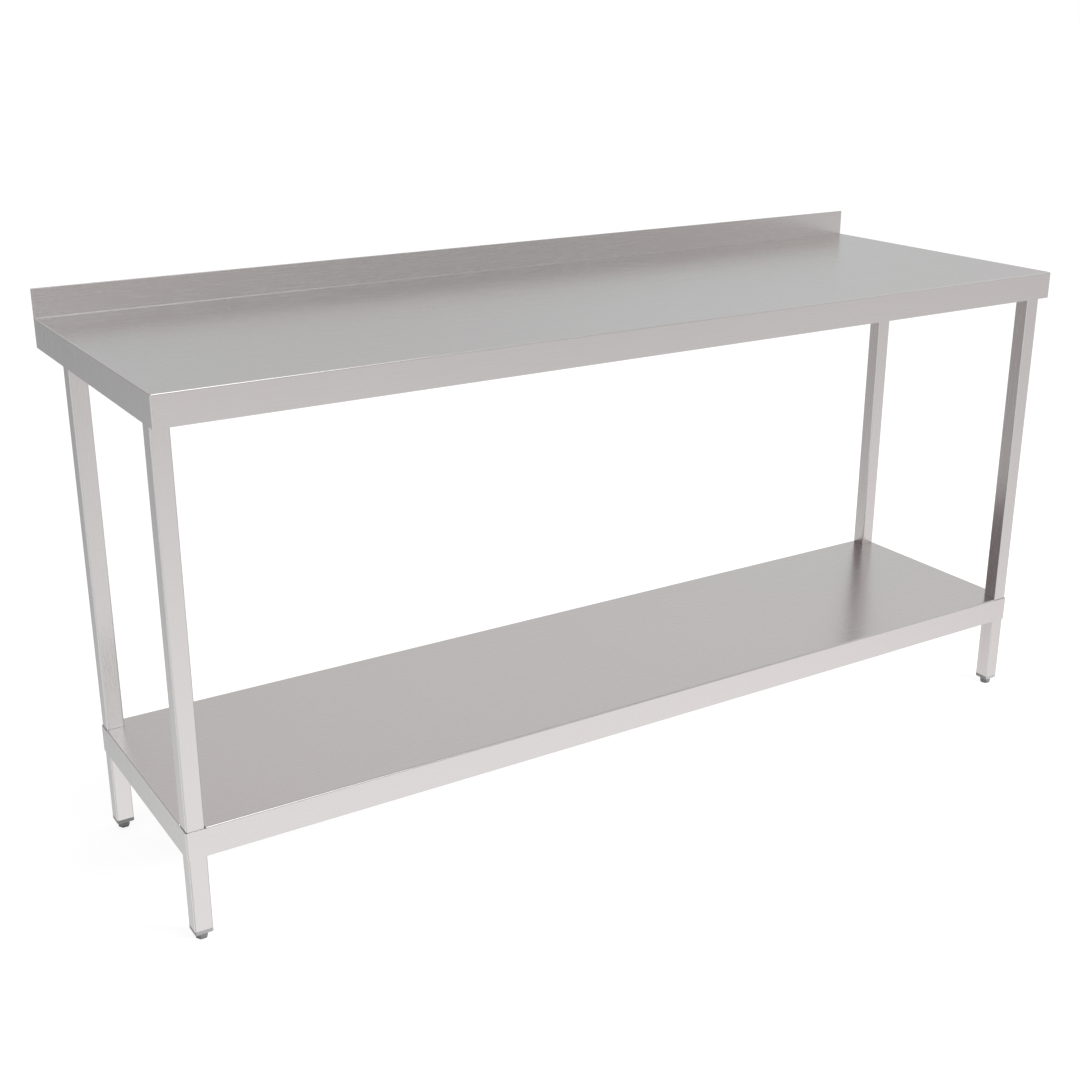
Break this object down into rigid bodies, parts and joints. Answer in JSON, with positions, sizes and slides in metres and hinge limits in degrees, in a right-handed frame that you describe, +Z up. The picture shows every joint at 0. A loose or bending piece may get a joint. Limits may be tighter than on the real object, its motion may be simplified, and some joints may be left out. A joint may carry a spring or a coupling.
{
  "type": "stainless work table",
  "caption": "Stainless steel work table with a low rear upstand, folded edges, square tube legs, an undershelf and screw-in levelling feet.",
  "frame": {"origin": "on the floor, under the centre of the worktop", "axes": "+X along the table's length to the right, +Y to the back with the upstand, +Z up"},
  "size_m": [1.8, 0.6, 0.94],
  "materials": {
    "stainless": "satin, fine lengthwise grain",
    "galvanised": "galvanised, faint spangle",
    "zinc": "bright zinc plate",
    "plug_plastic": "moulded, fine texture",
    "foot_plastic": "moulded, fine texture",
    "pad_rubber": "matt"
  },
  "bodies": {
    "frame": {"cross_channel_centre": "galvanised", "cross_channel_left": "galvanised", "cross_channel_right": "galvanised", "foot_nut_front_left": "zinc", "foot_nut_front_right": "zinc", "foot_nut_rear_left": "zinc", "foot_nut_rear_right": "zinc", "foot_plug_front_left": "plug_plastic", "foot_plug_front_right": "plug_plastic", "foot_plug_rear_left": "plug_plastic", "foot_plug_rear_right": "plug_plastic", "front_rail": "galvanised", "leg_front_left": "stainless", "leg_front_right": "stainless", "leg_plate_bolts": "zinc", "leg_plate_front_left": "stainless", "leg_plate_front_right": "stainless", "leg_plate_rear_left": "stainless", "leg_plate_rear_right": "stainless", "leg_plate_washers": "zinc", "leg_rear_left": "stainless", "leg_rear_right": "stainless", "leg_rivet_nuts": "zinc", "rail_rivet_nuts": "zinc", "rear_rail": "galvanised", "shelf": "stainless", "shelf_bolts": "zinc", "shelf_bracket_front_left": "stainless", "shelf_bracket_front_right": "stainless", "shelf_bracket_rear_left": "stainless", "shelf_bracket_rear_right": "stainless", "shelf_channel": "galvanised", "shelf_washers": "zinc", "worktop": "stainless"},
    "pad_front_left": {"foot_pad_front_left": "pad_rubber"},
    "foot_front_left": {"foot_stud_front_left": "zinc", "foot_hex_front_left": "foot_plastic"},
    "pad_front_right": {"foot_pad_front_right": "pad_rubber"},
    "foot_front_right": {"foot_stud_front_right": "zinc", "foot_hex_front_right": "foot_plastic"},
    "pad_rear_left": {"foot_pad_rear_left": "pad_rubber"},
    "foot_rear_left": {"foot_stud_rear_left": "zinc", "foot_hex_rear_left": "foot_plastic"},
    "pad_rear_right": {"foot_pad_rear_right": "pad_rubber"},
    "foot_rear_right": {"foot_stud_rear_right": "zinc", "foot_hex_rear_right": "foot_plastic"}
  },
  "joints": [
    {"name": "foot_rise_front_left", "type": "slide", "parent": "frame", "child": "pad_front_left", "axis": [0, 0, -1], "range_m": [0, 0.025]},
    {"name": "foot_turn_front_left", "type": "hinge", "parent": "pad_front_left", "child": "foot_front_left", "pos_m": [-0.8833, -0.2638, 0.013], "axis": [0, 0, -1], "range_deg": [0, 6000]},
    {"name": "foot_rise_front_right", "type": "slide", "parent": "frame", "child": "pad_front_right", "axis": [0, 0, -1], "range_m": [0, 0.025]},
    {"name": "foot_turn_front_right", "type": "hinge", "parent": "pad_front_right", "child": "foot_front_right", "pos_m": [0.8833, -0.2638, 0.013], "axis": [0, 0, -1], "range_deg": [0, 6000]},
    {"name": "foot_rise_rear_left", "type": "slide", "parent": "frame", "child": "pad_rear_left", "axis": [0, 0, -1], "range_m": [0, 0.025]},
    {"name": "foot_turn_rear_left", "type": "hinge", "parent": "pad_rear_left", "child": "foot_rear_left", "pos_m": [-0.8833, 0.1338, 0.013], "axis": [0, 0, -1], "range_deg": [0, 6000]},
    {"name": "foot_rise_rear_right", "type": "slide", "parent": "frame", "child": "pad_rear_right", "axis": [0, 0, -1], "range_m": [0, 0.025]},
    {"name": "foot_turn_rear_right", "type": "hinge", "parent": "pad_rear_right", "child": "foot_rear_right", "pos_m": [0.8833, 0.1338, 0.013], "axis": [0, 0, -1], "range_deg": [0, 6000]}
  ],
  "couplings": [
    {"joint": "foot_turn_front_left", "follows": "foot_rise_front_left", "rad_per_m": 4188.8},
    {"joint": "foot_turn_front_right", "follows": "foot_rise_front_right", "rad_per_m": 4188.8},
    {"joint": "foot_turn_rear_left", "follows": "foot_rise_rear_left", "rad_per_m": 4188.8},
    {"joint": "foot_turn_rear_right", "follows": "foot_rise_rear_right", "rad_per_m": 4188.8}
  ]
}
